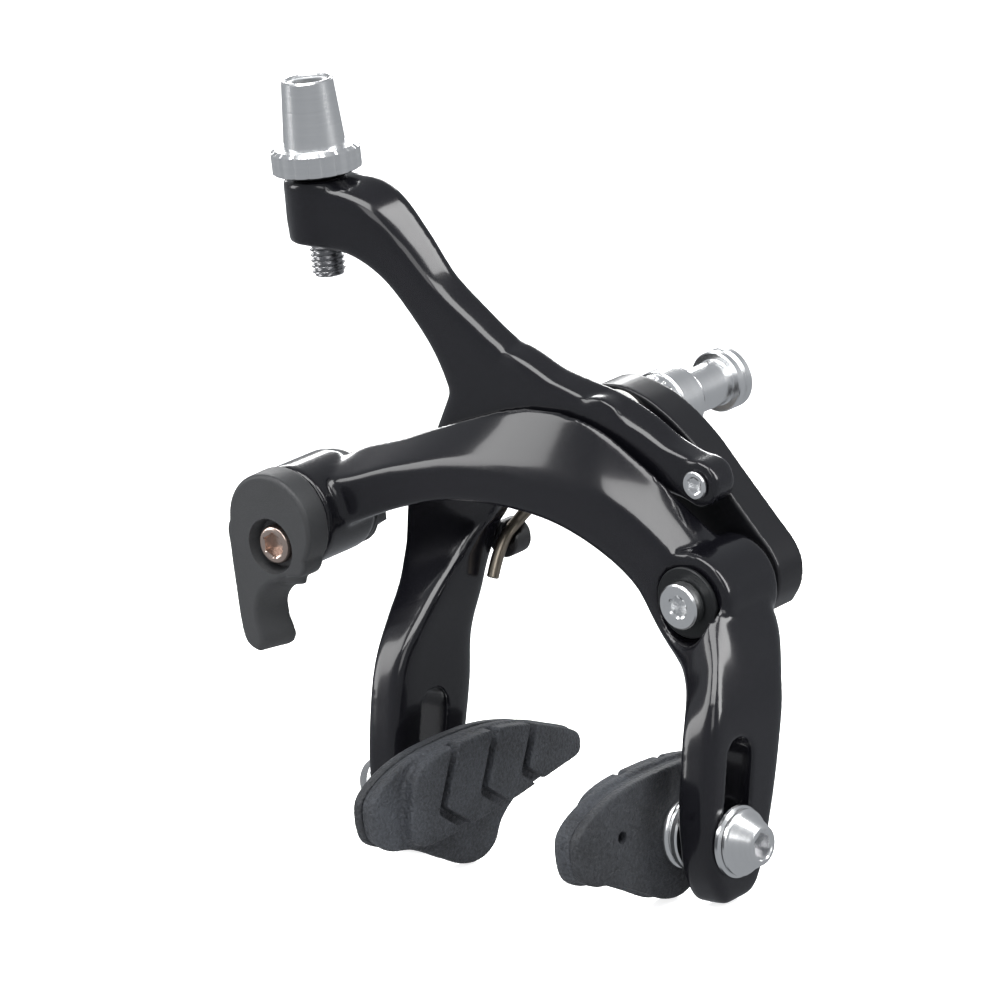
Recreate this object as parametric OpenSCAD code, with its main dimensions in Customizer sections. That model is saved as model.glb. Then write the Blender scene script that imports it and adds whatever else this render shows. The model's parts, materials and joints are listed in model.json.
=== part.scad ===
// Dual-pivot side-pull brake caliper with a recessed centre mount.
// X points to the right seen from the front, Y points back to the fork, Z points up.
// The origin lies on the centre bolt's axis, on the face that rests on the fork.

/* [Mount] */
// Diameter of the centre bolt's thread
bolt_d = 6; // [5:0.5:6]
// Outside diameter of the sleeve nut's shank
sleeve_d = 8; // [7:0.5:9]
// Length of the sleeve nut's shank
sleeve_len = 8.2; // [8:0.2:30]
// Thickness of the plain seat washer on the fork face
seat_t = 5.6; // [5:0.2:6]

/* [Pivots] */
// Side pivot, to the right of the centre bolt
side_x = 23.5; // [23:0.5:24.5]
// Side pivot, below the centre bolt
side_drop = 25; // [24:0.5:26]
// Diameter of the centre pivot's journal
centre_journal_d = 8; // [7:0.5:8]
// Diameter of the side pivot's journal
side_journal_d = 7; // [6.5:0.5:7]
// Radial running clearance of every turning fit
run_gap = 0.04; // [0.02:0.01:0.08]

/* [Legs] */
// Distance from the centre plane to the inner face of each leg
leg_inner = 30; // [30:0.5:31]
// Thickness of each leg
leg_t = 7.8; // [7.5:0.1:8]
// Forward lean of the legs and their slots, in degrees
leg_lean = 15; // [14:0.5:16]
// Width of the pad slot
slot_w = 6.6; // [6.6:0.1:7.4]
// Travel of the pad stud in its slot
slot_travel = 16; // [15.5:0.5:16]

/* [Pads] */
// Length of a pad
pad_len = 53; // [50:1:55]
// Distance from the centre plane to the left pad's braking face
left_pad_face = 15.5; // [14:0.5:16]
// Distance from the centre plane to the right pad's braking face
right_pad_face = 19.5; // [19:0.5:20]
// Thickness of the rubber
rubber_t = 5.6; // [5:0.2:6]

/* [Adjuster] */
// Diameter of the adjuster's wide ring
ring_d = 15.8; // [14:0.2:17]
// Height of the adjuster's cone
cone_h = 12; // [10:0.5:13]

/* [Quick release] */
// Offset of the anchor bolt from the lever's axis
cam_offset = 3.6; // [3:0.1:3.8]
// Diameter of the turning cam
cam_d = 14.5; // [14:0.1:15]

/* [Hidden] */
$fn = 48;

// layers along Y, from the fork face forward
plate_rear = -8.8;
plate_front = -15.8;
thrust_t = 0.7;
arm_rear = -16.8;
hub_front = -23;
flange_front = -20.4;
flange_rear = -19.4;
hub_d = 13.2;
bush_d = 9.4;
c_rear = -23.5;
c_boss_front = -30.5;
side_head_rear = -31.6;
side_head_front = -34;
side_z = -side_drop;
side_rear = -5.6;

// pad slot: its top end, and where the pad's stud sits in it
slot_top_y = -38.51;
slot_top_z = -48.15;
stud_down = 14.2;
stud_y = slot_top_y - stud_down * sin(leg_lean);
stud_z = slot_top_z - stud_down * cos(leg_lean);
slot_r = slot_w / 2;

// pad stack along X, measured outward from the centre plane; the left side has a thick
// cup between pad and leg and the right side a thin one
function pad_face(side) = side == "left" ? left_pad_face : right_pad_face;
function plate_face(side) = pad_face(side) + rubber_t;
plate_t = 1.8;
function dome_face(side) = plate_face(side) + plate_t;
dome_t = 1.5;
function cup_face(side) = dome_face(side) + dome_t + 0.1;
leg_outer = leg_inner + leg_t;
outer_cup_t = 1.5;
slide_gap = 0.08;
nut_face = leg_outer + outer_cup_t;
nut_h = 4.4;

// adjuster axis and heights
adj_x = -58.3;
adj_y = -22;
adj_boss_z = 41.3;
ring_h = 4.6;
ring_z = adj_boss_z + 0.8;
cone_z = ring_z + ring_h;
stud_end_z = 23.4;

// quick release axis, and its faces along Y
qr_x = -60.6;
qr_z = -17.3;
qr_front = -43;
qr_rear = -37.7;
eye_front = -37.3;
eye_rear = -24.5;
eye_r = 9.3;

// ---------- shapes shared by several pieces ----------

// cylinder along Y from y0 back to y1
module along_y(x, z, y0, y1, d)
    translate([x, y1, z]) rotate([90, 0, 0]) cylinder(d = d, h = y1 - y0);

// cylinder along X from x0 out to x1
module along_x(y, z, x0, x1, d)
    translate([x0, y, z]) rotate([0, 90, 0]) cylinder(d = d, h = x1 - x0);

// hexagonal prism along Y
module hex_y(x, z, y0, y1, flats)
    translate([x, y1, z]) rotate([90, 0, 0]) cylinder(d = flats / cos(30), h = y1 - y0, $fn = 6);

// ring of points round a four-cornered section whose corners are rounded by curves
function rounded(q, cut, steps) = [for (i = [0:3])
    let (p = q[i], a = p + (q[(i + 3) % 4] - p) * cut, b = p + (q[(i + 1) % 4] - p) * cut)
    for (k = [0:steps]) let (t = k / steps) a * (1 - t) * (1 - t) + p * 2 * t * (1 - t) + b * t * t];

// smooth value between rows b and c of a table
function spline(a, b, c, d, t) =
    0.5 * (2 * b + (c - a) * t + (2 * a - 5 * b + 4 * c - d) * t * t
        + (3 * b - a - 3 * c + d) * t * t * t);

function smooth_rows(rows, steps) = [for (i = [0:len(rows) - 2])
    for (k = [0:(i == len(rows) - 2 ? steps : steps - 1)])
        spline(rows[max(i - 1, 0)], rows[i], rows[i + 1], rows[min(i + 2, len(rows) - 1)], k / steps)];

// a row is [x, z, front y, rear y, front upper, front lower, rear upper, rear lower],
// with the last four measured from the path along its normal
function limb_ring(rows, i, cut) =
    let (a = rows[max(i - 1, 0)], b = rows[min(i + 1, len(rows) - 1)], r = rows[i],
        d = [b[0] - a[0], b[1] - a[1]] / norm([b[0] - a[0], b[1] - a[1]]),
        q = rounded([[r[2], r[5]], [r[3], r[7]], [r[3], r[6]], [r[2], r[4]]], cut, 3))
    [for (p = q) [r[0] - d[1] * p[1], p[0], r[1] + d[0] * p[1]]];

module skin(rings) {
    m = len(rings[0]);
    last = (len(rings) - 1) * m;
    polyhedron(points = [for (r = rings) for (p = r) p],
        faces = concat([[for (j = [0:m - 1]) j]], [[for (j = [m - 1:-1:0]) last + j]],
            [for (i = [0:m:last - 1]) for (j = [0:m - 1]) [i + j, i + m + j, i + (j + 1) % m]],
            [for (i = [0:m:last - 1]) for (j = [0:m - 1])
                [i + (j + 1) % m, i + m + j, i + m + (j + 1) % m]]));
}

module limb(rows, cut = 0.3, steps = 3) {
    fine = smooth_rows(rows, steps);
    skin([for (i = [0:len(fine) - 1]) limb_ring(fine, i, cut)]);
}

// slot through a leg, leaning with it
module pad_slot(x0, x1)
    translate([x0, slot_top_y, slot_top_z]) rotate([-leg_lean, 0, 0]) {
        rotate([0, 90, 0]) cylinder(d = slot_w, h = x1 - x0);
        translate([0, -slot_r, -slot_travel]) cube([x1 - x0, slot_w, slot_travel]);
        translate([0, 0, -slot_travel]) rotate([0, 90, 0]) cylinder(d = slot_w, h = x1 - x0);
    }

// ---------- fixed pieces on the fork ----------

// crescent between the two pivots
bracket_outer = [[-7.5, 4.2], [-4.6, 6.3], [0, 6.6], [5, 5.2], [8.4, 3.4], [11.8, 1], [15.7, -2.6],
    [19.4, -7.1], [23.2, -11.7], [27, -16.3], [29.8, -19.7], [31.2, -23.4], [30.4, -27.6], [28, -31]];
bracket_inner = [[17.5, -28], [15, -21.5], [10, -14.5], [4, -9.6], [-4, -5]];
module bracket_outline() polygon(concat(smooth_rows(bracket_outer, 3), bracket_inner));

module pivot_bracket() color("#141418")
    difference() {
        union() {
            along_y(0, 0, plate_front, plate_rear, 12.4);
            along_y(side_x, side_z, plate_front, plate_rear, 12.6);
            along_y(side_x, side_z, plate_front, side_rear, 9.6);
            translate([0, plate_rear, 0]) rotate([90, 0, 0])
                linear_extrude(plate_rear - plate_front) bracket_outline();
        }
        along_y(0, 0, plate_front - 1, 0, bolt_d);
        along_y(side_x, side_z, plate_front - 1, 0, bolt_d);
    }

module centre_bolt() color("#b9bcc0") {
    along_y(0, 0, flange_front, flange_rear, 9);
    along_y(0, 0, flange_front + 0.2, plate_front, centre_journal_d);
    along_y(0, 0, flange_rear, sleeve_len + 2.4, bolt_d);
}

module serrated_washer() color("#d8dadd")
    difference() {
        along_y(0, 0, plate_rear, -seat_t, 11.6);
        along_y(0, 0, plate_rear - 1, 1, bolt_d);
        for (a = [0:15:345]) rotate([0, a, 0])
            translate([5.2, plate_rear - 0.1, -0.4]) cube([2, 2.3, 0.8]);
    }

module seat_washer() color("#e0e2e5")
    difference() {
        union() {
            along_y(0, 0, -seat_t, -1.6, 12.4);
            along_y(0, 0, -1.6, 0, 11.6);
        }
        along_y(0, 0, -seat_t - 1, 1, bolt_d);
    }

module mount_sleeve_nut() color("#d0d2d5")
    difference() {
        union() {
            along_y(0, 0, 1.9, 1.9 + sleeve_len, sleeve_d);
            along_y(0, 0, 1.9 + sleeve_len, 3.5 + sleeve_len, 10.9);
            along_y(0, 0, 3.5 + sleeve_len, 4.1 + sleeve_len, 9.9);
            along_y(0, 0, 4.1 + sleeve_len, 5.7 + sleeve_len, 10.9);
        }
        along_y(0, 0, 1, sleeve_len + 2.4, bolt_d);
        hex_y(0, 0, sleeve_len + 2.4, 60, 5);
    }

module centre_thrust_washer() color("#e6e4dc")
    difference() {
        along_y(0, 0, plate_front - thrust_t, plate_front, 12);
        along_y(0, 0, plate_front - 1, 0, centre_journal_d);
    }

module side_pivot_bolt() color("#c9ccd0")
    difference() {
        union() {
            along_y(side_x, side_z, side_head_front, side_head_rear, 8);
            along_y(side_x, side_z, side_head_rear, -30.8, bolt_d);
            along_y(side_x, side_z, -30.8, plate_front, side_journal_d);
            along_y(side_x, side_z, plate_front, side_rear + 0.6, bolt_d);
        }
        hex_y(side_x, side_z, -35, -32, 3.2);
    }

module side_pivot_washer() color("#1b1c1f")
    difference() {
        along_y(side_x, side_z, side_head_rear, -30.8, 12.6);
        along_y(side_x, side_z, -33, -30, bolt_d);
    }

module side_thrust_washer() color("#e6e4dc")
    difference() {
        along_y(side_x, side_z, plate_front - thrust_t, plate_front, 13);
        along_y(side_x, side_z, plate_front - 1, 0, side_journal_d);
    }

// formed wire that pushes both arms open from a seat under the centre bolt
spring_path = [[-27.4, -22.9, -29], [-27.3, -21, -25.6], [-27, -18.6, -22.6], [-26.2, -15.6, -20.2],
    [-23.6, -13.6, -17.4], [-16, -12.3, -12.6], [-7, -12.3, -11.6], [1, -12.3, -14], [7, -12.3, -19.5],
    [12, -12.3, -27], [17, -15, -35], [23, -21, -40.5], [27.4, -24.6, -43], [28.2, -25.6, -48]];
spring_r = 1.1;

function wire_ring(path, i, r, sides) =
    let (d = path[min(i + 1, len(path) - 1)] - path[max(i - 1, 0)], t = d / norm(d),
        u = cross(t, [0, 1, 0]) / norm(cross(t, [0, 1, 0])), v = cross(t, u))
    [for (k = [0:sides - 1]) path[i] + r * (cos(k * 360 / sides) * u + sin(k * 360 / sides) * v)];

module return_spring() color("#9a8f7c") {
    fine = smooth_rows(spring_path, 4);
    skin([for (i = [0:len(fine) - 1]) wire_ring(fine, i, spring_r, 10)]);
}

module spring_seat() color("#202124")
    difference() {
        translate([-9, plate_front + 0.8, -14]) cube([9, 5.4, 10]);
        along_y(0, 0, -18, -5, 12.4);
        rotate([90, 0, 0]) linear_extrude(20) bracket_outline();
        wire_room(spring_path, spring_r + 0.15);
    }

// room round a wire
module wire_room(path, r) {
    fine = smooth_rows(path, 4);
    skin([for (i = [0:len(fine) - 1]) wire_ring(fine, i, r, 10)]);
}

// ---------- arm on the centre pivot ----------

// from the adjuster boss down to the middle of the arm
y_upper_rows = [[-62.5, 35.5, -27, -17.5, 4.5, -4, 4.5, -4], [-57, 35, -27.6, -16.6, 6, -6, 6, -6],
    [-50, 32.8, -26, -16, 6, -5.2, 8.4, -5.2], [-43.5, 27, -23.6, -15.8, 4.8, -4, 7.2, -4],
    [-37.2, 20.2, -23, -16.4, 4.2, -4.2, 6.4, -4.2], [-31, 12.5, -23, arm_rear, 6.8, -5.2, 8.8, -5.2],
    [-26, 3.5, -23, arm_rear, 11.5, -7.4, 13.4, -7.4], [-24, -5, -23, arm_rear, 12, -9, 13, -9]];

// from the middle of the arm down the left leg; upper is the side towards the wheel
y_leg_rows = [[-27, 2, -23, arm_rear, 9, -6.6, 9, -6.6], [-32, -8, -23, arm_rear, 10, -7.4, 10, -7.4],
    [-35.5, -17, -23.2, arm_rear, 8.5, -10, 8.5, -10],
    [-35.6, -24, -28.5, -17.5, 6.2, -8.2, 6.2, -8.2], [-34.4, -31, -38, -21.6, 4.8, -5.6, 4.8, -5.6],
    [-33.9, -38, -45.2, -25.6, 3.9, -3.9, 3.9, -3.9], [-33.9, -47, -48.2, -27.6, 3.9, -3.9, 3.9, -3.9],
    [-33.9, -57, -50, -31, 3.9, -3.9, 3.9, -3.9], [-33.9, -66, -49.8, -35, 3.9, -3.9, 3.9, -3.9],
    [-33.9, -70.4, -48, -38, 3.9, -3.9, 3.9, -3.9], [-33.9, -72.4, -46.4, -40.4, 3.4, -3.4, 3.4, -3.4]];

// from the middle of the arm through the hub to the tab that carries the centring screw
y_hub_rows = [[-32, -4, -23, arm_rear, 5, -6, 5, -6], [-22, 1.5, -23, arm_rear, 11, -9, 12.6, -9],
    [-10, 1.5, -23, arm_rear, 6.6, -8, 8.2, -8], [0, -0.6, -23, arm_rear, 5, -6.4, 7.7, -6.4],
    [6.5, -2.4, -22.9, arm_rear, 4.4, -5, 6.6, -5], [13, -4.8, -22.7, arm_rear, 3.8, -4.2, 4.9, -4.2],
    [20.6, -7, -22.5, arm_rear, 3.9, -3.9, 3.9, -3.9]];
tab_x = 20.8;
tab_z = -7;

module y_arm() color("#0f0f13")
    difference() {
        union() {
            limb(y_upper_rows, 0.24);
            limb(y_leg_rows, 0.18);
            limb(y_hub_rows, 0.2);
            along_y(0, 0, hub_front, arm_rear, hub_d);
            along_y(tab_x, tab_z, -22.5, arm_rear, 8.2);
            translate([adj_x, adj_y, 30]) cylinder(d = 12.6, h = adj_boss_z - 30);
        }
        along_y(0, 0, flange_front - 0.3, -15, bush_d);
        along_y(tab_x, tab_z, -25, -15, 3.6);
        translate([adj_x, adj_y, 20]) cylinder(d = 6.2, h = 30);
        pad_slot(-45, -25);
    }

module centre_bushing() color("#a8834a")
    difference() {
        along_y(0, 0, flange_rear + 0.1, arm_rear, bush_d);
        along_y(0, 0, -21, -16, centre_journal_d + 2 * run_gap);
    }

module left_spring_shoe() color("#1d1e21")
    difference() {
        along_y(-28.6, -23.6, -18, -13.8, 6.6);
        wire_room(spring_path, spring_r + 0.5);
        limb(y_leg_rows, 0.18);
    }

module centring_screw() color("#c8bfa4")
    difference() {
        union() {
            along_y(tab_x, tab_z, -23.3, -22.6, 4.9);
            along_y(tab_x, tab_z, -22.6, arm_rear + 0.4, 3.6 - 2 * run_gap);
        }
        hex_y(tab_x, tab_z, -24, -21.8, 2.5);
    }

// ---------- cable adjuster ----------

module adjuster_stud() color("#c4c7ca")
    translate([adj_x, adj_y, 0]) difference() {
        translate([0, 0, stud_end_z]) cylinder(d = 6.2 - 2 * run_gap, h = cone_z - stud_end_z);
        translate([0, 0, 20]) cylinder(d = 2.2, h = 40);
    }

module adjuster_lock_ring() color("#dfe1e3")
    translate([adj_x, adj_y, ring_z]) difference() {
        union() {
            cylinder(d = ring_d - 1, h = ring_h);
            translate([0, 0, 0.5]) cylinder(d = ring_d, h = ring_h - 1);
        }
        translate([0, 0, -1]) cylinder(d = 6.2 - 2 * run_gap, h = 10);
    }

module adjuster_barrel() color("#e4e6e8")
    translate([adj_x, adj_y, cone_z]) difference() {
        cylinder(d1 = 11, d2 = 9.1, h = cone_h);
        translate([0, 0, -1]) cylinder(d = 2.2, h = 20);
        translate([0, 0, cone_h - 6.5]) cylinder(d = 7.6, h = 7);
    }

module adjuster_cap() color("#85888b")
    translate([adj_x, adj_y, cone_z + cone_h - 6.4]) difference() {
        cylinder(d = 7.6 - 2 * run_gap, h = 6);
        translate([0, 0, -1]) cylinder(d = 2.2, h = 10);
        translate([0, 0, 1.5]) cylinder(d = 5.2, h = 6);
    }

module adjuster_seal() color("#17181a")
    translate([adj_x, adj_y, adj_boss_z + 0.1]) difference() {
        cylinder(d = 9.4, h = 0.7);
        translate([0, 0, -1]) cylinder(d = 6.2 - 2 * run_gap, h = 3);
    }

// ---------- arm on the side pivot ----------

// from the quick release eye over the arch and down the right leg
c_rows = [[-60, -16.5, -35.5, -25.5, 6, -6, 6, -6], [-51, -14.5, -33.6, -24, 3.8, -4.4, 8.3, -4],
    [-41, -11.5, -31.6, c_rear, 3.4, -4.1, 8, -3.4], [-29, -9.4, -31, c_rear, 3.5, -3.8, 10, -3],
    [-16, -9.2, -31, c_rear, 3.7, -3.9, 13.8, -3], [-4, -11, -31, c_rear, 4.2, -4, 15, -3.4],
    [7, -14.9, -31, c_rear, 5.2, -4.8, 12.2, -4.4], [15.5, -20, -31.2, -21, 6, -6, 8.2, -5.6],
    [22, -27, -32, -17, 7.6, -7.8, 8.2, -7], [29, -33.5, -37.2, -18.6, 5.6, -5.6, 5.8, -5.4],
    [33.2, -40.5, -43.8, -23.8, 4.3, -4.2, 4.3, -4.2], [33.9, -48, -46.6, -26.4, 3.9, -3.9, 3.9, -3.9],
    [33.9, -57, -48.6, -29.6, 3.9, -3.9, 3.9, -3.9], [33.9, -65.5, -48.6, -33.4, 3.9, -3.9, 3.9, -3.9],
    [33.9, -70.4, -47, -36.4, 3.9, -3.9, 3.9, -3.9], [33.9, -72.4, -45.6, -38.8, 3.4, -3.4, 3.4, -3.4]];

module c_arm() color("#121216")
    difference() {
        union() {
            limb(c_rows, 0.22);
            along_y(side_x, side_z, c_boss_front, arm_rear, 17);
            along_y(qr_x, qr_z, eye_front, eye_rear, 2 * eye_r);
        }
        along_y(side_x, side_z, -50, c_boss_front, 13.6);
        along_y(side_x, side_z, -32, -12, bush_d);
        along_y(qr_x, qr_z, -50, -20, cam_d + 2 * run_gap);
        along_y(qr_x, qr_z, -50, eye_front, 22);
        pad_slot(25, 45);
    }

module side_bushing() color("#a8834a")
    difference() {
        along_y(side_x, side_z, c_boss_front, arm_rear, bush_d);
        along_y(side_x, side_z, -32, -12, side_journal_d + 2 * run_gap);
    }

module right_spring_shoe() color("#1d1e21")
    difference() {
        translate([27.2, -29, -48.5]) cube([4.4, 6, 8]);
        wire_room(spring_path, spring_r + 0.5);
        limb(c_rows, 0.22);
    }

// ---------- quick release and cable anchor ----------

module qr_lever() color("#3b3d40")
    translate([qr_x, 0, qr_z]) difference() {
        union() {
            along_y(0, 0, qr_front, qr_rear, 19.2);
            translate([0, qr_rear, 0]) rotate([90, 0, 0]) linear_extrude(qr_rear - qr_front)
                polygon([[-9.6, 0], [-10, -5], [-9.9, -12], [-9.6, -19.5], [-8.6, -22.6],
                    [-6.2, -23.8], [-2.6, -23.4], [-1, -21.4], [-2, -17.6], [-1.8, -14.6], [0.2, -12.4],
                    [2.8, -11.8], [3.6, -10.2], [6.6, -8.4], [7.4, -5], [4, 2]]);
        }
        along_y(0, -cam_offset, qr_front - 1, -40.2, 10.2);
        along_y(0, -cam_offset, -41, qr_rear + 1, 5.2);
    }

module qr_cam() color("#2a2b2e")
    translate([qr_x, 0, qr_z]) difference() {
        along_y(0, 0, qr_rear, -23.9, cam_d);
        along_y(0, -cam_offset, -45, -20, 5.2);
    }

module qr_washer() color("#9b9ea2")
    translate([qr_x, 0, qr_z]) difference() {
        along_y(0, 0, -23.9, -22.9, 17.4);
        along_y(0, -cam_offset, -45, -20, 5.2);
    }

module anchor_bolt() color("#b59a8c")
    translate([qr_x, 0, qr_z - cam_offset]) difference() {
        union() {
            along_y(0, 0, -42.4, -40.2, 7);
            along_y(0, 0, -40.2, -15.6, 5.2);
        }
        hex_y(0, 0, -43, -40.6, 4);
    }

module cable_clamp() color("#8d9094")
    translate([qr_x, 0, qr_z - cam_offset]) difference() {
        union() {
            along_y(0, 0, -22.1, -20.4, 11.4);
            translate([-5.6, -22.9, -5.7]) cube([2, 1.2, 4.4]);
        }
        along_y(0, 0, -25, -18, 5.2);
    }

module anchor_nut() color("#a9acb0")
    translate([qr_x, 0, qr_z - cam_offset]) difference() {
        hex_y(0, 0, -20.4, -16.4, 8);
        along_y(0, 0, -22, -14, 5.2);
    }

// ---------- pads ----------
// Each piece is drawn for the right leg, and the left one is its mirror image.

module on_side(side) mirror([side == "left" ? 1 : 0, 0, 0]) children();

// outline of a pad as [y, z] from its stud, front end at negative y
pad_rise = 12.8;
pad_outline = [[-27, 8.2], [-22.5, 10.8], [-16, 12.4], [-8, pad_rise], [3, 12.2], [12, 10.2],
    [19, 7.4], [pad_len - 28.6, 4.8], [pad_len - 28, 2.2], [pad_len - 29, -0.8], [16, -1.6],
    [9, -2.8], [4.5, -5.6], [2, -9.2], [-2, -10.8], [-7, -10], [-13, -6.6], [-19, -3.4],
    [-24, -2], [-27.2, 0.4], [-28, 4.6]];

// outline of the raised braking block, which leaves out the lobe under the stud
block_outline = [[-21.2, 2], [-20.5, 5], [-19, 9.4], [-15.5, 11.6], [-8, 12.4], [3, 11.8], [12, 9.8],
    [19, 7], [23.8, 4.6], [24.5, 2.2], [23.4, 0.4], [18.7, -0.3], [12.5, -1.1], [6, -1.9], [-1.3, -2.4],
    [-7.8, -2.8], [-14.8, -3], [-18.7, -2.5], [-20.8, -0.5]];
block_t = 2.4;

module pad_sheet(x0, x1, inset)
    translate([x0, stud_y, stud_z]) rotate([90, 0, 90]) linear_extrude(x1 - x0)
        polygon([for (p = pad_outline) [p[0] * (1 - inset / 28), (p[1] - 2) * (1 - inset / 10) + 2]]);

// chevron groove with its point towards the front, one long leg up and one short leg down
groove_depth = 2.2;
module groove(side, y)
    for (leg = [[63, 14], [-39, 12]])
        translate([pad_face(side) - 1, stud_y + y, stud_z + 2.1]) rotate([leg[0], 0, 0])
            translate([0, -0.3, -0.8]) cube([groove_depth + 1, leg[1], 1.6]);

module pad_rubber(side) color("#33363a")
    on_side(side) difference() {
        union() {
            pad_sheet(pad_face(side) + block_t, plate_face(side), 0);
            translate([pad_face(side), stud_y, stud_z]) rotate([90, 0, 90])
                linear_extrude(block_t + 0.5) polygon(block_outline);
        }
        for (y = [-13, -2, 9]) groove(side, y);
    }

module pad_plate(side) color("#3a3d42")
    on_side(side) difference() {
        pad_sheet(plate_face(side), dome_face(side), 1.6);
        along_x(stud_y, stud_z, plate_face(side) - 1, dome_face(side) + 1, bolt_d);
        along_x(stud_y - 16, stud_z + 4.4, plate_face(side) - 1, dome_face(side) + 1, 2.2);
    }

module pad_stud(side) color("#b9bcc0")
    on_side(side) along_x(stud_y, stud_z, plate_face(side), nut_face + 2.4, bolt_d);

module inner_dome(side) color("#c4c7ca")
    on_side(side) difference() {
        union() {
            along_x(stud_y, stud_z, dome_face(side), dome_face(side) + 0.7, 12.4);
            translate([dome_face(side) + 0.7, stud_y, stud_z]) rotate([0, 90, 0])
                cylinder(d1 = 12.4, d2 = 9.6, h = dome_t - 0.7);
        }
        along_x(stud_y, stud_z, dome_face(side) - 1, cup_face(side) + 1, bolt_d);
    }

module inner_cup(side) color("#b4b7bb")
    on_side(side) difference() {
        along_x(stud_y, stud_z, cup_face(side), leg_inner - slide_gap, 12.4);
        along_x(stud_y, stud_z, cup_face(side) - 1, leg_inner + 1, bolt_d + 2 * run_gap);
    }

module outer_cup(side) color("#c9ccd0")
    on_side(side) difference() {
        along_x(stud_y, stud_z, leg_outer + slide_gap, nut_face - 0.1, 12.3);
        along_x(stud_y, stud_z, leg_outer - 1, nut_face + 1, bolt_d + 2 * run_gap);
    }

module pad_nut(side) color("#dcdee0")
    on_side(side) difference() {
        union() {
            along_x(stud_y, stud_z, nut_face, nut_face + 0.8, 11.4);
            translate([nut_face + 0.8, stud_y, stud_z]) rotate([0, 90, 0])
                cylinder(d1 = 10.6, d2 = 6.6, h = nut_h - 0.8);
        }
        along_x(stud_y, stud_z, nut_face - 1, nut_face + 2.4, bolt_d);
        translate([nut_face + 2.4, stud_y, stud_z]) rotate([0, 90, 0])
            cylinder(d = 4 / cos(30), h = 10, $fn = 6);
    }

pivot_bracket();
centre_bolt();
serrated_washer();
seat_washer();
mount_sleeve_nut();
centre_thrust_washer();
side_pivot_bolt();
side_pivot_washer();
side_thrust_washer();
return_spring();
spring_seat();
y_arm();
centre_bushing();
left_spring_shoe();
centring_screw();
adjuster_barrel();
adjuster_cap();
adjuster_lock_ring();
adjuster_seal();
adjuster_stud();
c_arm();
side_bushing();
right_spring_shoe();
qr_lever();
qr_cam();
qr_washer();
anchor_bolt();
cable_clamp();
anchor_nut();
pad_rubber("left");  // left_pad_rubber
pad_plate("left");  // left_pad_plate
pad_stud("left");  // left_pad_stud
inner_dome("left");  // left_inner_dome
inner_cup("left");  // left_inner_cup
outer_cup("left");  // left_outer_cup
pad_nut("left");  // left_pad_nut
pad_rubber("right");  // right_pad_rubber
pad_plate("right");  // right_pad_plate
pad_stud("right");  // right_pad_stud
inner_dome("right");  // right_inner_dome
inner_cup("right");  // right_inner_cup
outer_cup("right");  // right_outer_cup
pad_nut("right");  // right_pad_nut
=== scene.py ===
import json
import math

import bmesh
import bpy
import numpy as np
from mathutils import Matrix, Vector


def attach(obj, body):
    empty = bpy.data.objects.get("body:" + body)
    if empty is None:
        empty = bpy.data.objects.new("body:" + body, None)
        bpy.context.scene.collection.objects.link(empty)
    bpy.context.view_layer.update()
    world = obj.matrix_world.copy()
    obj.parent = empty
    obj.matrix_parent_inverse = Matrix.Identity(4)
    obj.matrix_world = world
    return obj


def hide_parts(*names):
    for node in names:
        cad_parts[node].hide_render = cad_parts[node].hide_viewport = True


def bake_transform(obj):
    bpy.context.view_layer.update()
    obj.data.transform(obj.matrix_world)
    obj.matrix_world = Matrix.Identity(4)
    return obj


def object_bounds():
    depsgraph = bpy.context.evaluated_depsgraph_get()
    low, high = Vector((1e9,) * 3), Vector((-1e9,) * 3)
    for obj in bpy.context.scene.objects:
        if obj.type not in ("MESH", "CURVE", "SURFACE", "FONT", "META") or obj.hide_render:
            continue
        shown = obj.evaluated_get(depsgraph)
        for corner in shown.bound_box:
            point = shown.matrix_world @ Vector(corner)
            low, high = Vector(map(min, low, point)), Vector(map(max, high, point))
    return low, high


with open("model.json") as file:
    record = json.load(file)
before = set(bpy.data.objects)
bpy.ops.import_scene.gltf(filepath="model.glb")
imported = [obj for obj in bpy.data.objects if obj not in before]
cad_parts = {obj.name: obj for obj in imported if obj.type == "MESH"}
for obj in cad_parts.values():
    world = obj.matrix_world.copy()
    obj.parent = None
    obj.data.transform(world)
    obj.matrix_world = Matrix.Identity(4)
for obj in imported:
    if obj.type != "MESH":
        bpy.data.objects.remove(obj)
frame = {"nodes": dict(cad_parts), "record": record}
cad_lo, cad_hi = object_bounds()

MM = 0.001
LEAN = math.radians(15)
RECORD = frame["record"]
BODY_OF = {n: b for b, ns in RECORD["behaviour"]["bodies"].items() for n in ns}
SLOT_OF = {s["node"]: s["material_slot"] for s in RECORD["subparts"]}

# ---------------------------------------------------------------- camera

camera = bpy.data.objects.new("camera", bpy.data.cameras.new("camera"))
bpy.context.scene.collection.objects.link(camera)
camera.data.sensor_width = 36
camera.data.lens = 225.7
camera.data.clip_start, camera.data.clip_end = 0.05, 200
turn = Matrix(((0.75972, -0.10165, 0.64225), (0.64123, 0.28099, -0.71405), (-0.10789, 0.95431, 0.27866)))
camera.matrix_world = Matrix.Translation((0.67601, -0.80070, 0.28922)) @ turn.to_4x4()
bpy.context.scene.camera = camera
bpy.context.scene.view_settings.view_transform = "Standard"

# ---------------------------------------------------------------- mesh tools (millimetres in, metres out)


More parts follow.
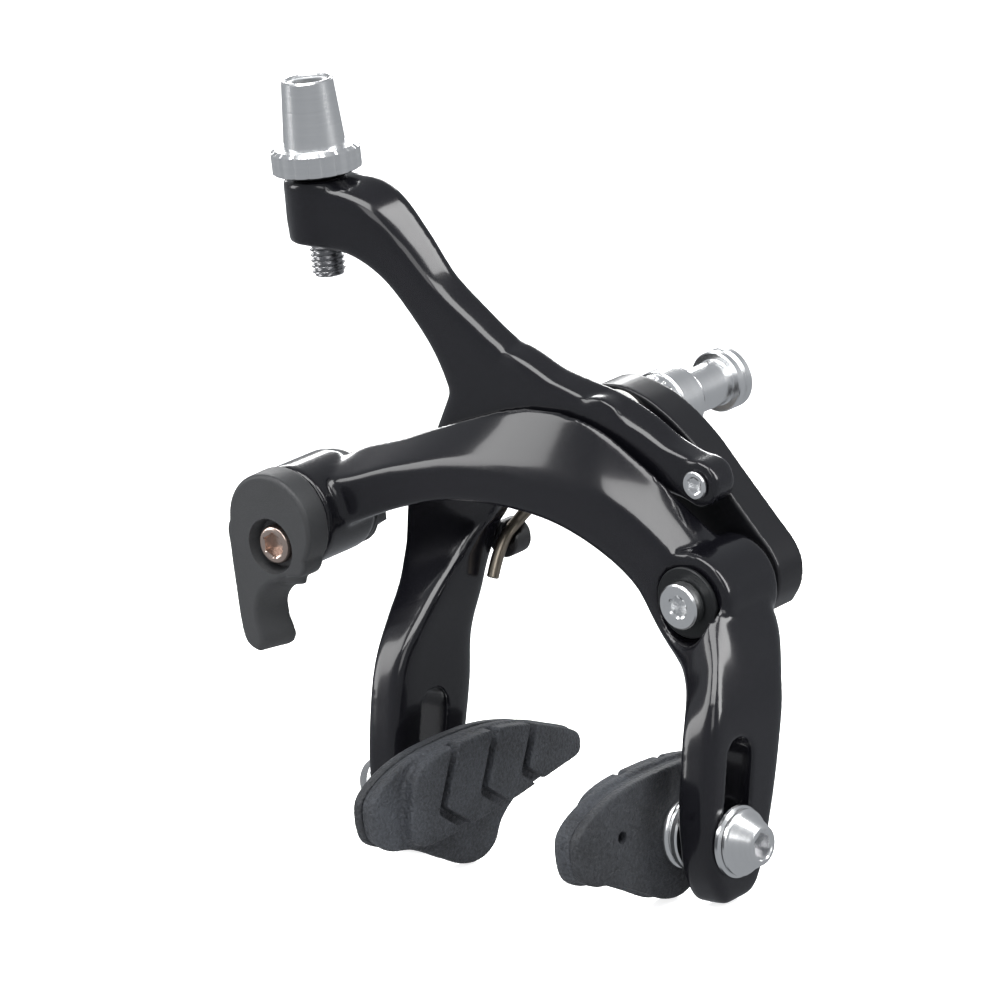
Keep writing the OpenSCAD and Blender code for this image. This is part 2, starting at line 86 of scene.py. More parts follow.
def make(name, points, faces, angle=35):
    """Closed mesh from points in mm, its normals outward and its creases sharp past the angle."""
    mesh = bpy.data.meshes.new(name)
    mesh.from_pydata([tuple(p * MM) for p in np.asarray(points, float)], [], faces)
    bm = bmesh.new()
    bm.from_mesh(mesh)
    bmesh.ops.remove_doubles(bm, verts=bm.verts, dist=1e-7)
    bmesh.ops.recalc_face_normals(bm, faces=bm.faces)
    bm.to_mesh(mesh)
    bm.free()
    ob = bpy.data.objects.new(name, mesh)
    bpy.context.scene.collection.objects.link(ob)
    crease(ob, angle)
    return ob


def crease(ob, angle):
    mesh = ob.data
    mesh.polygons.foreach_set("use_smooth", [True] * len(mesh.polygons))
    mesh.set_sharp_from_angle(angle=math.radians(angle))
    mesh.update()


def apply_modifiers(ob):
    """Keeps what the modifiers make as the object's own mesh."""
    graph = bpy.context.evaluated_depsgraph_get()
    made = bpy.data.meshes.new_from_object(ob.evaluated_get(graph))
    old = ob.data
    ob.modifiers.clear()
    ob.data = made
    bpy.data.meshes.remove(old)
    return ob


def joined(name, parts):
    """One object from several, with their shells overlapping."""
    points, faces = [], []
    for part in parts:
        start = len(points)
        points += [v.co / MM for v in part.data.vertices]
        faces += [[start + i for i in p.vertices] for p in part.data.polygons]
        bpy.data.objects.remove(part)
    return make(name, points, faces)


def fused(ob, voxel, rounds):
    """Joins overlapping shells into one skin and relaxes its corners."""
    m = ob.modifiers.new("remesh", "REMESH")
    m.mode = "VOXEL"
    m.voxel_size = voxel * MM
    m = ob.modifiers.new("smooth", "SMOOTH")
    m.factor = 0.5
    m.iterations = rounds
    return apply_modifiers(ob)


def cut(ob, cutters):
    """Cuts the joined cutters out of the object."""
    tool = joined("cutter", cutters)
    tool = fused(tool, 0.25, 0) if len(cutters) > 1 else tool
    m = ob.modifiers.new("cut", "BOOLEAN")
    m.operation = "DIFFERENCE"
    m.solver = "MANIFOLD"
    m.object = tool
    apply_modifiers(ob)
    bpy.data.objects.remove(tool)
    return ob


def rings_mesh(name, rings, closed=False, angle=35):
    """Skin over a row of rings, capped at both ends or joined end to end."""
    n, m = len(rings), len(rings[0])
    faces = [[i * m + j, i * m + (j + 1) % m, (i + 1) % n * m + (j + 1) % m, (i + 1) % n * m + j]
             for i in range(n if closed else n - 1) for j in range(m)]
    if not closed:
        faces += [list(range(m)), list(range((n - 1) * m, n * m))]
    return make(name, np.concatenate([np.asarray(r, float) for r in rings]), faces, angle)


def smooth_rows(rows, steps):
    rows = np.array(rows, float)
    last = len(rows) - 1
    out = []
    for i in range(last):
        a, b, c, d = rows[max(i - 1, 0)], rows[i], rows[i + 1], rows[min(i + 2, last)]
        for k in range(steps + (i == last - 1)):
            t = k / steps
            out.append(0.5 * (2 * b + (c - a) * t + (2 * a - 5 * b + 4 * c - d) * t * t
                              + (3 * b - a - 3 * c + d) * t ** 3))
    return np.array(out)


def limb(rows, cut_share, steps=8, arc=7):
    """Swept section with rounded corners; a row is x, z, front y, rear y, four
    heights off the path and, when it has ten values, a ridge on its upper side."""
    fine = smooth_rows(rows, steps)
    rings = []
    for i, r in enumerate(fine):
        d = (fine[min(i + 1, len(fine) - 1)] - fine[max(i - 1, 0)])[:2]
        d = d / np.linalg.norm(d)
        ridge = [r[8:10]] if len(r) > 8 else []
        q = np.array([[r[2], r[5]], [r[3], r[7]], [r[3], r[6]], *ridge, [r[2], r[4]]])
        ring = []
        for k in range(len(q)):
            a = q[k] + (q[k - 1] - q[k]) * cut_share
            b = q[k] + (q[(k + 1) % len(q)] - q[k]) * cut_share
            for j in range(arc):
                t = j / (arc - 1)
                e = a * (1 - t) ** 2 + q[k] * 2 * t * (1 - t) + b * t * t
                ring.append((r[0] - d[1] * e[1], e[0], r[1] + d[0] * e[1]))
        rings.append(ring)
    return rings_mesh("limb", rings)


def axis_points(axis, at, s, radii, angles):
    c, n = radii * np.cos(angles), radii * np.sin(angles)
    full = np.full_like(angles, s)
    if axis == "y":
        return np.stack([at[0] + c, full, at[1] + n], 1)
    if axis == "x":
        return np.stack([full, at[0] + c, at[1] + n], 1)
    return np.stack([at[0] + c, at[1] + n, full], 1)


def hexed(flats):
    """Radius of a hexagon as its angle goes round."""
    return lambda t: flats / 2 / np.cos((t + math.pi / 6) % (math.pi / 3) - math.pi / 6)


def scalloped(radius, count, depth):
    """Radius of a grip with flat facets and narrow valleys between them."""
    step = math.tau / count
    return lambda t: radius - depth * np.clip(np.abs((t % step) / step - 0.5) * 2 - 0.62, 0, 1) / 0.38


def turned(name, axis, at, profile, segments=96, angle=35):
    """Part turned about an axis from a closed profile of (distance, radius), where a radius may
    change with its angle. The profile starts and ends on the axis, or runs round a bore."""
    angles = np.arange(segments) * math.tau / segments
    rings = []
    for s, r in profile:
        radii = r(angles) if callable(r) else np.full_like(angles, max(r, 1e-4))
        rings.append(axis_points(axis, at, s, radii, angles))
    closed = not callable(profile[0][1]) and profile[0][1] > 0
    return rings_mesh(name, rings, closed, angle)


def eased(profile, size=0.18, part=False):
    """Profile with its plain corners broken by a small chamfer; part means it is not the whole profile."""
    bored = not part and not callable(profile[0][1]) and profile[0][1] > 0
    out, n = [], len(profile)
    for i, (s, r) in enumerate(profile):
        before, after = profile[i - 1], profile[(i + 1) % n]
        plain = not any(callable(p[1]) for p in (before, (s, r), after))
        if plain and (bored or 0 < i < n - 1):
            p = np.array([s, r], float)
            a, b = np.array(before, float) - p, np.array(after, float) - p
            la, lb = np.linalg.norm(a), np.linalg.norm(b)
            bend = abs(a[0] * b[1] - a[1] * b[0]) / max(la * lb, 1e-9)
            if bend > 0.3:
                out.append(tuple(p + a / la * min(size, la * 0.4)))
                out.append(tuple(p + b / lb * min(size, lb * 0.4)))
                continue
        out.append((s, r))
    return out


def threaded(name, axis, at, s0, s1, major, pitch=1.0, bore=0.0, segments=48):
    """Rod with a helical thread and chamfered ends."""
    angles = np.arange(segments) * math.tau / segments
    depth = 0.58 * pitch
    rings = []
    for s in np.arange(s0, s1 + 0.01, pitch / 10):
        wave = np.abs(((s / pitch - angles / math.tau) % 1) * 2 - 1)
        ends = np.clip(min(s - s0, s1 - s) / 0.7, 0, 1)
        radii = major / 2 - depth * np.clip(wave * 1.25 - 0.12, 0, 1)
        radii = np.minimum(radii, major / 2 - depth * (1 - ends))
        rings.append(axis_points(axis, at, min(s, s1), radii, angles))
    if bore:
        for s in (s1, s0):
            rings.append(axis_points(axis, at, s, np.full_like(angles, bore / 2), angles))
        return rings_mesh(name, rings, True, 50)
    return rings_mesh(name, rings, False, 50)


def block(x0, x1, y0, y1, z0, z1):
    points = [(x, y, z) for x in (x0, x1) for y in (y0, y1) for z in (z0, z1)]
    faces = [[0, 1, 3, 2], [4, 6, 7, 5], [0, 4, 5, 1], [2, 3, 7, 6], [0, 2, 6, 4], [1, 5, 7, 3]]
    return make("block", points, faces)


def rod(axis, at, s0, s1, d, d2=None):
    return turned("rod", axis, at, [(s0, 0), (s0, d / 2), (s1, (d2 or d) / 2), (s1, 0)])


def curve_loop(points, steps=6):
    """Closed smooth outline through points."""
    p = np.array(points, float)
    n = len(p)
    out = []
    for i in range(n):
        a, b, c, d = p[i - 1], p[i], p[(i + 1) % n], p[(i + 2) % n]
        for k in range(steps):
            t = k / steps
            out.append(0.5 * (2 * b + (c - a) * t + (2 * a - 5 * b + 4 * c - d) * t * t
                              + (3 * b - a - 3 * c + d) * t ** 3))
    return np.array(out)


def inset(loop, d):
    """Outline moved inward by d."""
    ahead, behind = np.roll(loop, -1, 0), np.roll(loop, 1, 0)
    t = ahead - behind
    t /= np.maximum(np.linalg.norm(t, axis=1), 1e-9)[:, None]
    area = np.sum(loop[:, 0] * ahead[:, 1] - ahead[:, 0] * loop[:, 1])
    normal = np.stack([-t[:, 1], t[:, 0]], 1) * (1 if area > 0 else -1)
    return loop + normal * d


def plate(name, loop, place, s0, s1, ease=0.4, steps=4, angle=35, far=None):
    """Sheet of an outline from s0 to s1 with rounded edges, changing to the far outline on its way;
    place turns (u, v, s) into x, y, z."""
    far = loop if far is None else far
    rings = []
    for k in range(steps + 1):
        t = math.pi / 2 * k / steps
        rings.append((s0 + ease * (1 - math.sin(t)), ease * (1 - math.cos(t))))
    rings = rings[::-1] + [(s1 - (s - s0), d) for s, d in rings]
    return rings_mesh(name, [[place(u, v, s) for u, v in inset(loop + (far - loop) * (s - s0) / (s1 - s0), d)]
                             for s, d in rings], False, angle)


# ---------------------------------------------------------------- materials


def material(name, colour, roughness, metallic=0.0, grain=0.0, grain_scale=3000.0, spread=0.06,
             wear=0.0, streak=None, depth=0.00008, **shader):
    """Procedural finish: fine grain, uneven gloss and tone, a little wear on edges, and turning
    marks round one axis. Colours are linear."""
    mat = bpy.data.materials.new(name)
    mat.use_nodes = True
    tree = mat.node_tree
    link = tree.links.new
    bsdf = tree.nodes["Principled BSDF"]
    bsdf.inputs["Metallic"].default_value = metallic
    for key, value in shader.items():
        bsdf.inputs[key.replace("_", " ")].default_value = value

    def node(kind, **values):
        n = tree.nodes.new(kind)
        for k, v in values.items():
            if k in n.inputs:
                n.inputs[k].default_value = v
            else:
                setattr(n, k, v)
        return n

    where = node("ShaderNodeTexCoord").outputs["Object"]
    stretch = node("ShaderNodeMapping")
    link(where, stretch.inputs["Vector"])
    if streak:
        stretch.inputs["Scale"].default_value = streak
    broad = node("ShaderNodeTexNoise", Scale=90.0, Detail=4.0)
    fine = node("ShaderNodeTexNoise", Scale=grain_scale, Detail=3.0)
    link(where, broad.inputs["Vector"])
    link(stretch.outputs[0], fine.inputs["Vector"])
    tone = node("ShaderNodeMapRange")
    tone.inputs["To Min"].default_value = 1 - spread * 2
    tone.inputs["To Max"].default_value = 1 + spread * 2
    mixed = node("ShaderNodeMath", operation="ADD")
    link(broad.outputs[0], mixed.inputs[0])
    link(fine.outputs[0], mixed.inputs[1])
    half = node("ShaderNodeMath", operation="MULTIPLY")
    half.inputs[1].default_value = 0.5
    link(mixed.outputs[0], half.inputs[0])
    link(half.outputs[0], tone.inputs["Value"])
    paint = node("ShaderNodeVectorMath", operation="SCALE")
    paint.inputs[0].default_value = colour
    link(tone.outputs[0], paint.inputs["Scale"])
    shade = paint.outputs[0]
    if wear:
        edge = node("ShaderNodeNewGeometry").outputs["Pointiness"]
        ramp = node("ShaderNodeMapRange")
        ramp.inputs["From Min"].default_value, ramp.inputs["From Max"].default_value = 0.54, 0.64
        ramp.inputs["To Max"].default_value = wear
        link(edge, ramp.inputs["Value"])
        mix = node("ShaderNodeMix", data_type="RGBA")
        link(ramp.outputs[0], mix.inputs[0])
        link(shade, mix.inputs[6])
        mix.inputs[7].default_value = (*[min(1, c * 3 + 0.03) for c in colour], 1)
        shade = mix.outputs[2]
    link(shade, bsdf.inputs["Base Color"])
    gloss = node("ShaderNodeMapRange")
    gloss.inputs["To Min"].default_value = roughness * 0.75
    gloss.inputs["To Max"].default_value = min(1, roughness * 1.25)
    link(half.outputs[0], gloss.inputs["Value"])
    link(gloss.outputs[0], bsdf.inputs["Roughness"])
    if grain:
        bump = node("ShaderNodeBump", Strength=grain, Distance=depth)
        link(fine.outputs[0], bump.inputs["Height"])
        link(bump.outputs[0], bsdf.inputs["Normal"])
    return mat


RING_MARKS = {"x": (1.0, 0.02, 0.02), "y": (0.02, 1.0, 0.02), "z": (0.02, 0.02, 1.0)}
GLOSS = material("gloss_black", (0.0045, 0.0045, 0.0062), 0.2, grain=0.02, grain_scale=900,
                 Specular_IOR_Level=0.3, Coat_Weight=0.6, Coat_Roughness=0.09)
SATIN = material("satin_black", (0.006, 0.006, 0.0075), 0.3, grain=0.05, grain_scale=2500,
                 Specular_IOR_Level=0.3, Coat_Weight=0.3, Coat_Roughness=0.2)
BLACKENED = material("blackened_steel", (0.02, 0.021, 0.023), 0.34, 0.5, grain=0.15, grain_scale=3500,
                     wear=0.6)
FINISH = {
    "black_arm": GLOSS,
    "steel": material("steel", (0.5, 0.5, 0.51), 0.24, 1.0, grain=0.12, grain_scale=5000, spread=0.08),
    "dark_steel": material("dark_steel", (0.16, 0.165, 0.17), 0.34, 1.0, grain=0.2, grain_scale=4000,
        spread=0.1),
    "nylon": material("nylon", (0.75, 0.74, 0.7), 0.45, grain=0.1, grain_scale=3000),
    "black_washer": material("black_washer", (0.012, 0.013, 0.014), 0.35, 0.4, grain=0.1,
        grain_scale=3000),
    "spring_steel": material("spring_steel", (0.3, 0.26, 0.21), 0.3, 1.0, grain=0.15, grain_scale=3500,
        spread=0.1),
    "black_plastic": material("black_plastic", (0.012, 0.012, 0.013), 0.42, grain=0.25,
        grain_scale=3500, wear=0.3),
    "bronze": material("bronze", (0.42, 0.26, 0.1), 0.35, 1.0, grain=0.25, grain_scale=3000,
        spread=0.1),
    "zinc_screw": material("zinc_screw", (0.62, 0.5, 0.44), 0.24, 1.0, grain=0.15, grain_scale=4000,
        spread=0.08),
    "grey_cap": material("grey_cap", (0.42, 0.43, 0.44), 0.4, 0.6, grain=0.2, grain_scale=3500),
    "seal_rubber": material("seal_rubber", (0.012, 0.012, 0.013), 0.6, grain=0.3, grain_scale=3000),
    "lever_plastic": material("lever_plastic", (0.03, 0.031, 0.033), 0.5, grain=0.45, grain_scale=4200,
        wear=0.3, spread=0.08),
    "pad_rubber": material("pad_rubber", (0.028, 0.031, 0.037), 0.68, grain=1.0, grain_scale=1800,
        wear=0.3, spread=0.9, depth=0.0005),
    "pad_back": material("pad_back", (0.02, 0.022, 0.026), 0.6, grain=0.9, grain_scale=1800, wear=0.3,
        spread=0.8, depth=0.0004),
}
CHROME = {a: material("chrome_" + a, (0.9, 0.905, 0.91), 0.24, 1.0, grain=0.12, grain_scale=1800, spread=0.04,
                      streak=RING_MARKS[a]) for a in "xyz"}


def stands_for(ob, node, finish=None):
    """Gives the piece its finish, its body and its CAD node."""
    ob.name = ob.data.name = node + "_v"
    ob.data.materials.clear()
    ob.data.materials.append(finish or FINISH[SLOT_OF[node]])
    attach(ob, BODY_OF[node])
    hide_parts(node)
    return ob


def ring(node, axis, at, s0, s1, inner, outer, finish=None, ease=0.18):
    """Plain washer, bushing or cup with its corners broken."""
    profile = eased([(s0, inner), (s0, outer), (s1, outer), (s1, inner)], ease)
    return stands_for(turned("ring", axis, at, profile), node, finish)


# ---------------------------------------------------------------- arms

ARM_REAR = -16.8
C_REAR = -23.5
PLATE_FRONT = -15.8
PLATE_REAR = -8.8
M6_BORE = 3.02
PIN_BORE = 9.4
SLOT_TOP = (-38.51, -48.15)


def pad_slot(x0, x1, d=6.6, travel=16.0):
    """Cutter for a leg's slot, which leans with the leg."""
    r = d / 2
    loop = [(r * math.cos(a), r * math.sin(a)) for a in np.linspace(0, math.pi, 17)]
    loop += [(r * math.cos(a), r * math.sin(a) - travel) for a in np.linspace(math.pi, math.tau, 17)]
    c, s = math.cos(LEAN), math.sin(LEAN)
    rings = [[(x, SLOT_TOP[0] + u * c + v * s, SLOT_TOP[1] - u * s + v * c) for u, v in loop]
             for x in (x0, x1)]
    return rings_mesh("slot", rings)


Y_UPPER = [[-62.5, 35.5, -27, -17.5, 4.5, -4, 4.5, -4], [-57, 35, -27.6, -16.6, 6, -6, 6, -6],
           [-50, 32.8, -26, -16, 6, -5.2, 8.4, -5.2], [-43.5, 27, -23.6, -15.8, 4.8, -4, 7.2, -4],
           [-37.2, 20.2, -23, -16.4, 4.2, -4.2, 6.4, -4.2],
           [-31, 12.5, -23, ARM_REAR, 6.8, -5.2, 8.8, -5.2],
           [-26, 3.5, -23, ARM_REAR, 11.5, -7.4, 13.4, -7.4], [-24, -5, -23, ARM_REAR, 12, -9, 13, -9]]
Y_LEG = [[-27, 2, -23, ARM_REAR, 9, -6.6, 9, -6.6], [-32, -8, -23, ARM_REAR, 10, -7.4, 10, -7.4],
         [-35.5, -17, -23.2, ARM_REAR, 8.5, -10, 8.5, -10],
         [-35.6, -24, -28.5, -17.5, 6.2, -8.2, 6.2, -8.2],
         [-34.4, -31, -38, -21.6, 4.8, -5.6, 4.8, -5.6],
         [-33.9, -38, -45.2, -25.6, 3.9, -3.9, 3.9, -3.9],
         [-33.9, -47, -48.2, -27.6, 3.9, -3.9, 3.9, -3.9], [-33.9, -57, -50, -31, 3.9, -3.9, 3.9, -3.9],
         [-33.9, -66, -49.8, -35, 3.9, -3.9, 3.9, -3.9], [-33.9, -70.4, -48, -38, 3.9, -3.9, 3.9, -3.9],
         [-33.9, -72.4, -46.4, -40.4, 3.4, -3.4, 3.4, -3.4]]
Y_HUB = [[-32, -4, -23, ARM_REAR, 5, -6, 5, -6], [-22, 1.5, -23, ARM_REAR, 11, -9, 12.6, -9],
         [-10, 1.5, -23, ARM_REAR, 6.6, -8, 8.2, -8], [0, -0.6, -23, ARM_REAR, 5, -6.4, 7.7, -6.4],
         [6.5, -2.4, -22.9, ARM_REAR, 4.4, -5, 6.6, -5],
         [13, -4.8, -22.7, ARM_REAR, 3.8, -4.2, 4.9, -4.2],
         [20.6, -7, -22.5, ARM_REAR, 3.9, -3.9, 3.9, -3.9]]
C_ROWS = [[-60, -16.5, -35.5, -25.5, 6, -6, 6, -6], [-51, -14.5, -33.6, -24, 3.8, -4.4, 8.3, -4],
          [-41, -11.5, -31.6, C_REAR, 3.4, -4.1, 8, -3.4], [-29, -9.4, -31, C_REAR, 3.5, -3.8, 10, -3],
          [-16, -9.2, -31, C_REAR, 3.7, -3.9, 13.8, -3], [-4, -11, -31, C_REAR, 4.2, -4, 15, -3.4],
          [7, -14.9, -31, C_REAR, 5.2, -4.8, 12.2, -4.4], [15.5, -20, -31.2, -21, 5.2, -6, 8.2, -5.6],
          [22, -27, -32, -17, 5.6, -7.8, 8.2, -7], [29, -33.5, -37.2, -18.6, 4.6, -5.6, 5.8, -5.4],
          [33.2, -40.5, -43.8, -23.8, 4.3, -4.2, 4.3, -4.2],
          [33.9, -48, -46.6, -26.4, 3.9, -3.9, 3.9, -3.9],
          [33.9, -57, -48.6, -29.6, 3.9, -3.9, 3.9, -3.9],
          [33.9, -65.5, -48.6, -33.4, 3.9, -3.9, 3.9, -3.9],
          [33.9, -70.4, -47, -36.4, 3.9, -3.9, 3.9, -3.9],
          [33.9, -72.4, -45.6, -38.8, 3.4, -3.4, 3.4, -3.4]]
RIDGE = {7: (-25.5, 8), 8: (-28, 8.2), 9: (-32.6, 5.9)}
C_ROWS = [r + list(RIDGE.get(i, ((r[2] + r[3]) / 2, (r[4] + r[6]) / 2))) for i, r in enumerate(C_ROWS)]
SIDE = (23.5, -25)
TAB = (20.8, -7)
ADJ = (-58.3, -22)
QR = (-60.6, -17.3)
BOLT = (QR[0], QR[1] - 3.6)
FINE = 0.38

y_arm = joined("y_arm_v", [limb(Y_UPPER, 0.24), limb(Y_LEG, 0.2), limb(Y_HUB, 0.2),
                           rod("y", (0, 0), -22.6, ARM_REAR, 12.6), rod("y", TAB, -22.5, ARM_REAR, 8.3),
                           rod("z", ADJ, 30, 41.3, 12.6)])
fused(y_arm, 0.5, 9)
cut(y_arm, [rod("y", (0, 0), -20.7, -15, PIN_BORE)])
cut(y_arm, [rod("y", TAB, -26, -15, 3.6)])
cut(y_arm, [rod("z", ADJ, 20, 50, 6.2)])
cut(y_arm, [pad_slot(-45, -25)])
fused(y_arm, FINE, 6)
crease(y_arm, 50)
stands_for(y_arm, "y_arm")

c_arm = joined("c_arm_v", [limb(C_ROWS, 0.24), rod("y", SIDE, -30.5, ARM_REAR, 17),
                           rod("y", QR, -37.3, -24.5, 18.6)])
fused(c_arm, 0.5, 8)
cut(c_arm, [rod("y", SIDE, -50, -30.5, 13.6)])
cut(c_arm, [rod("y", SIDE, -32, -12, PIN_BORE)])
cut(c_arm, [rod("y", QR, -50, -20, 14.6), rod("y", QR, -50, -37.3, 22)])
cut(c_arm, [pad_slot(25, 45)])
fused(c_arm, FINE, 6)
crease(c_arm, 50)
stands_for(c_arm, "c_arm")

# crescent bracket between the pivots
OUTER = [(-7.5, 4.2), (-4.6, 6.3), (0, 6.6), (5, 5.2), (8.4, 3.4), (11.8, 1), (15.7, -2.6), (19.4, -7.1),
         (23.2, -11.7), (27, -16.3), (29.8, -19.7), (31.2, -23.4), (30.4, -27.6), (28, -31)]
INNER = [(17.5, -28), (15, -21.5), (10, -14.5), (4, -9.6), (-4, -5)]
outline = np.concatenate([smooth_rows(OUTER, 5), INNER])
bracket = joined("bracket", [
    plate("crescent", outline, lambda u, v, s: (u, s, v), PLATE_FRONT, PLATE_REAR, 0.3),
    rod("y", (0, 0), PLATE_FRONT, PLATE_REAR, 12.4),
    rod("y", SIDE, PLATE_FRONT, PLATE_REAR, 12.6),
    rod("y", SIDE, PLATE_FRONT, -5.6, 9.6)])
fused(bracket, 0.3, 3)
cut(bracket, [rod("y", (0, 0), ARM_REAR, 0, 6)])
cut(bracket, [rod("y", SIDE, ARM_REAR, 0, 6)])
crease(bracket, 50)
stands_for(bracket, "pivot_bracket", SATIN)

# ---------------------------------------------------------------- pivots and mount

stands_for(joined("bolt", [
    turned("j", "y", (0, 0), eased([(-20.4, 0), (-20.4, 4.5), (-19.4, 4.5), (-19.4, 4), (PLATE_FRONT, 4),
                                    (PLATE_FRONT, 0)])),
    threaded("t", "y", (0, 0), -16, 10.6, 6)]), "centre_bolt")
teeth = scalloped(5.75, 24, 0.6)
stands_for(turned("s", "y", (0, 0), [(PLATE_REAR, M6_BORE), (PLATE_REAR, 4.9), (-8.7, teeth),
                                     (-6.9, teeth), (-6.7, 5.78), (-5.75, 5.78), (-5.6, 5.6),
                                     (-5.6, M6_BORE)], 192), "serrated_washer", CHROME["y"])
stands_for(turned("s", "y", (0, 0), eased([(-5.6, M6_BORE), (-5.6, 6.2), (-1.6, 6.2), (-1.6, 5.8), (0, 5.8),
                                           (0, M6_BORE)])), "seat_washer", CHROME["y"])
end = 1.9 + 8.2
stands_for(turned("s", "y", (0, 0), eased([(1.9, M6_BORE), (1.9, 4), (end, 4), (end, 5.45), (end + 1.6, 5.45),
                                           (end + 1.6, 4.95), (end + 2.2, 4.95), (end + 2.2, 5.45),
                                           (end + 3.8, 5.45), (end + 3.8, 3.3)], 0.22, True)
                  + [(end + 3.5, hexed(5)), (10.6, hexed(5)), (10.6, M6_BORE)]),
           "mount_sleeve_nut", CHROME["y"])
ring("centre_thrust_washer", "y", (0, 0), -16.5, PLATE_FRONT, 4, 6)
ring("side_thrust_washer", "y", SIDE, -16.5, PLATE_FRONT, 3.5, 6.5)
ring("centre_bushing", "y", (0, 0), -19.3, ARM_REAR, 4.04, 4.7)
ring("side_bushing", "y", SIDE, -30.5, ARM_REAR, 3.54, 4.7)
stands_for(turned("h", "y", SIDE, [(-32, 0), (-32, hexed(3.2)), (-33.7, hexed(3.2)), (-34, 2.05)]
                  + eased([(-34, 2.2), (-34, 4), (-31.6, 4), (-31.6, 3), (-30.8, 3), (-30.8, 3.5),
                           (PLATE_FRONT, 3.5), (PLATE_FRONT, 3), (-4.4, 3), (-4.4, 0)], 0.3, True)),
           "side_pivot_bolt", CHROME["y"])
ring("side_pivot_washer", "y", SIDE, -31.6, -30.8, 3, 6.3)
stands_for(turned("c", "y", TAB, [(-21.8, 0), (-21.8, hexed(2.5)), (-23.15, hexed(2.5)), (-23.3, 1.6)]
                  + eased([(-23.3, 1.7), (-23.3, 2.45), (-22.6, 2.45), (-22.6, 1.76), (-16.4, 1.76),
                           (-16.4, 0)], 0.2, True)),
           "centring_screw", CHROME["y"])

# ---------------------------------------------------------------- adjuster

facet = scalloped(7.9, 18, 0.35)
stands_for(turned("r", "z", ADJ, [(42.1, 3.06), (42.1, 7.0), (42.5, facet), (46.1, facet), (46.7, 7.1),
                                  (46.7, 3.06)], 216), "adjuster_lock_ring", CHROME["z"])
stands_for(turned("c", "z", ADJ, eased([(46.7, 1.1), (46.7, 5.5), (58.7, 4.55), (58.7, 3.8), (52.2, 3.8),
                                        (52.2, 1.1)], 0.3)), "adjuster_barrel", CHROME["z"])
stands_for(turned("c", "z", ADJ, eased([(52.3, 1.1), (52.3, 3.76), (58.3, 3.76), (58.3, 2.6), (53.8, 2.6),
                                        (53.8, 1.1)])), "adjuster_cap")
ring("adjuster_seal", "z", ADJ, 41.42, 42.04, 3.14, 4.7)
stands_for(threaded("t", "z", ADJ, 23.4, 46.7, 6.12, bore=2.2, segments=64), "adjuster_stud")

# ---------------------------------------------------------------- quick release

LEVER = [(-9.6, 0), (-10, -5), (-9.9, -12), (-9.6, -19.5), (-8.6, -22.6), (-6.2, -23.8), (-2.6, -23.4),
         (-1, -21.4), (-2, -17.6), (-1.8, -14.6), (0.2, -12.4), (2.8, -11.8), (3.6, -10.2), (6.6, -8.4),
         (7.4, -5), (4, 2), (-4, 5)]
FRONT = LEVER[:6] + [(-5.6, -23.2), (-5, -21.5), (-5.6, -17), (-4.6, -13.5), (-2.2, -11), (0.5, -9.8),
                     (2.6, -9)] + LEVER[13:]
lever = joined("lever", [
    plate("blade", curve_loop(FRONT), lambda u, v, s: (QR[0] + u, s, QR[1] + v), -43, -37.7, 0.5,
          far=curve_loop(LEVER)),
    turned("disc", "y", QR, [(-43, 0), (-43, 9.0), (-42.5, 9.5), (-37.7, 9.6), (-37.7, 0)])])
fused(lever, 0.25, 4)
cut(lever, [rod("y", BOLT, -44, -40.2, 10.6, 9.0)])
cut(lever, [rod("y", BOLT, -41, -36, 5.3)])
crease(lever, 45)
stands_for(lever, "qr_lever")
cam = turned("cam", "y", QR, eased([(-37.7, 0), (-37.7, 7.25), (-23.9, 7.25), (-23.9, 0)], 0.3))
stands_for(cut(cam, [rod("y", BOLT, -45, -20, 5.24)]), "qr_cam")
washer = turned("washer", "y", QR, eased([(-23.9, 0), (-23.9, 8.7), (-22.9, 8.7), (-22.9, 0)], 0.25))
stands_for(cut(washer, [rod("y", BOLT, -45, -20, 5.24)]), "qr_washer", BLACKENED)
stands_for(turned("a", "y", BOLT, [(-40.6, 0), (-40.6, hexed(4)), (-42.2, hexed(4)), (-42.4, 2.4)]
                  + eased([(-42.4, 2.6), (-42.4, 3.1), (-41.9, 3.5), (-40.2, 3.5), (-40.2, 2.6), (-15.6, 2.6),
                           (-15.6, 0)], 0.2, True)), "anchor_bolt")
clamp = joined("clamp", [turned("d", "y", BOLT, eased([(-22.1, 0), (-22.1, 5.7), (-20.4, 5.7), (-20.4, 0)])),
                         block(BOLT[0] - 5.6, BOLT[0] - 3.6, -22.9, -21.7, BOLT[1] - 5.7, BOLT[1] - 1.3)])
fused(clamp, 0.16, 2)
stands_for(cut(clamp, [rod("y", BOLT, -25, -18, 5.24)]), "cable_clamp", BLACKENED)
stands_for(turned("n", "y", BOLT, [(-20.4, 2.6), (-20.4, 3.7), (-20.05, hexed(8)), (-16.75, hexed(8)),
                                   (-16.4, 3.7), (-16.4, 2.6)]), "anchor_nut", BLACKENED)

# ---------------------------------------------------------------- pads

